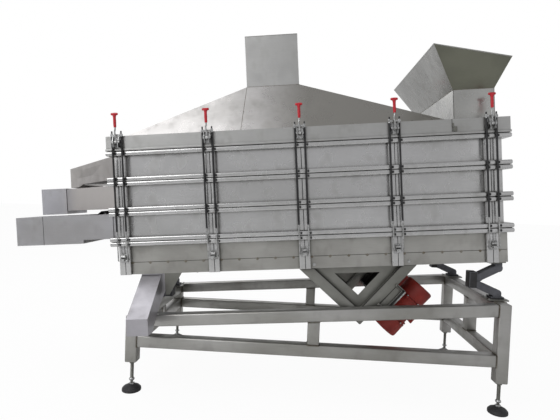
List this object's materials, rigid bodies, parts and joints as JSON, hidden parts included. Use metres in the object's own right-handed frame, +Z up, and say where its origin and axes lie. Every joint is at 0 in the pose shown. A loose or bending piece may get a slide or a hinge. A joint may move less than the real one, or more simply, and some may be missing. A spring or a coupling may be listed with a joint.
{
  "type": "inclined linear vibrating screen with stacked trays",
  "caption": "Inclined linear vibrating screen: stacked clamped trays on a tube frame with rubber mounts, twin motors, feed hopper, extraction hood and end outlets.",
  "frame": {"origin": "on the floor under the middle of the machine's overall box", "axes": "+X towards the feed end, along the machine's length; +Y from the front to the rear; +Z up"},
  "size_m": [3.4466, 1.3808, 2.5845],
  "materials": {
    "frame_tube": "brushed stainless square tube with welded, ground corners",
    "plate_steel": "stainless plate, mill finish",
    "tray_sheet": "fine brushed stainless sheet",
    "lid_sheet": "fine brushed stainless sheet",
    "hood_sheet": "bright rolled stainless sheet, slightly wavy",
    "hopper_sheet": "bright rolled stainless sheet",
    "chute_sheet": "stainless sheet, folded and welded",
    "screen_mesh": "woven stainless screen cloth",
    "gasket_rubber": "black sponge rubber seal",
    "feet": "dark levelling feet with threaded spindles",
    "mount_iron": "dark grey coated rubber suspension mounts",
    "seat_paint": "dark painted motor seat",
    "motor_paint": "red enamel on cast housing",
    "clamp_zinc": "zinc-bright clamp hardware",
    "sleeve_black": "black plastic tube over the rods",
    "handle_red": "red dipped vinyl grip"
  },
  "bodies": {
    "machine": {"base_tray": "tray_sheet", "chimney": "hood_sheet", "clamp_brackets": "clamp_zinc", "clamp_crossbars": "clamp_zinc", "clamp_hooks": "clamp_zinc", "clamp_rods": "clamp_zinc", "cleanout_chute": "chute_sheet", "deck_brackets": "plate_steel", "drive_arms": "frame_tube", "drive_webs": "plate_steel", "end_beams": "frame_tube", "feed_hopper": "hopper_sheet", "frame_legs": "frame_tube", "front_motor": "motor_paint", "gaskets": "gasket_rubber", "hood": "hood_sheet", "levelling_feet": "feet", "lid": "lid_sheet", "lower_chute": "chute_sheet", "lower_screen": "screen_mesh", "lower_side_beams": "frame_tube", "lower_tray": "tray_sheet", "mid_posts": "frame_tube", "middle_chute": "chute_sheet", "middle_tray": "tray_sheet", "motor_seat": "seat_paint", "mount_plates": "plate_steel", "rear_motor": "motor_paint", "rocker_mounts": "mount_iron", "rod_sleeves": "sleeve_black", "upper_chute": "chute_sheet", "upper_screen": "screen_mesh", "upper_side_beams": "frame_tube", "upper_tray": "tray_sheet", "wall_posts": "tray_sheet"},
    "front_handle_1_lever": {"front_handle_1": "handle_red"},
    "front_handle_2_lever": {"front_handle_2": "handle_red"},
    "front_handle_3_lever": {"front_handle_3": "handle_red"},
    "front_handle_4_lever": {"front_handle_4": "handle_red"},
    "front_handle_5_lever": {"front_handle_5": "handle_red"},
    "rear_handle_1_lever": {"rear_handle_1": "handle_red"},
    "rear_handle_2_lever": {"rear_handle_2": "handle_red"},
    "rear_handle_3_lever": {"rear_handle_3": "handle_red"},
    "rear_handle_4_lever": {"rear_handle_4": "handle_red"},
    "rear_handle_5_lever": {"rear_handle_5": "handle_red"}
  },
  "joints": [
    {"name": "front_handle_1_swing", "type": "hinge", "parent": "machine", "child": "front_handle_1_lever", "pos_m": [-0.96257, -0.4695, 1.6983], "axis": [0.9967, 0, 0.0811], "range_deg": [0, 90]},
    {"name": "front_handle_2_swing", "type": "hinge", "parent": "machine", "child": "front_handle_2_lever", "pos_m": [-0.34162, -0.4695, 1.74881], "axis": [0.9967, 0, 0.0811], "range_deg": [0, 90]},
    {"name": "front_handle_3_swing", "type": "hinge", "parent": "machine", "child": "front_handle_3_lever", "pos_m": [0.27933, -0.4695, 1.79931], "axis": [0.9967, 0, 0.0811], "range_deg": [0, 90]},
    {"name": "front_handle_4_swing", "type": "hinge", "parent": "machine", "child": "front_handle_4_lever", "pos_m": [0.90028, -0.4695, 1.84982], "axis": [0.9967, 0, 0.0811], "range_deg": [0, 90]},
    {"name": "front_handle_5_swing", "type": "hinge", "parent": "machine", "child": "front_handle_5_lever", "pos_m": [1.52123, -0.4695, 1.90033], "axis": [0.9967, 0, 0.0811], "range_deg": [0, 90]},
    {"name": "rear_handle_1_swing", "type": "hinge", "parent": "machine", "child": "rear_handle_1_lever", "pos_m": [-0.96257, 0.6405, 1.6983], "axis": [-0.9967, 0, -0.0811], "range_deg": [0, 90]},
    {"name": "rear_handle_2_swing", "type": "hinge", "parent": "machine", "child": "rear_handle_2_lever", "pos_m": [-0.34162, 0.6405, 1.74881], "axis": [-0.9967, 0, -0.0811], "range_deg": [0, 90]},
    {"name": "rear_handle_3_swing", "type": "hinge", "parent": "machine", "child": "rear_handle_3_lever", "pos_m": [0.27933, 0.6405, 1.79931], "axis": [-0.9967, 0, -0.0811], "range_deg": [0, 90]},
    {"name": "rear_handle_4_swing", "type": "hinge", "parent": "machine", "child": "rear_handle_4_lever", "pos_m": [0.90028, 0.6405, 1.84982], "axis": [-0.9967, 0, -0.0811], "range_deg": [0, 90]},
    {"name": "rear_handle_5_swing", "type": "hinge", "parent": "machine", "child": "rear_handle_5_lever", "pos_m": [1.52123, 0.6405, 1.90033], "axis": [-0.9967, 0, -0.0811], "range_deg": [0, 90]}
  ]
}
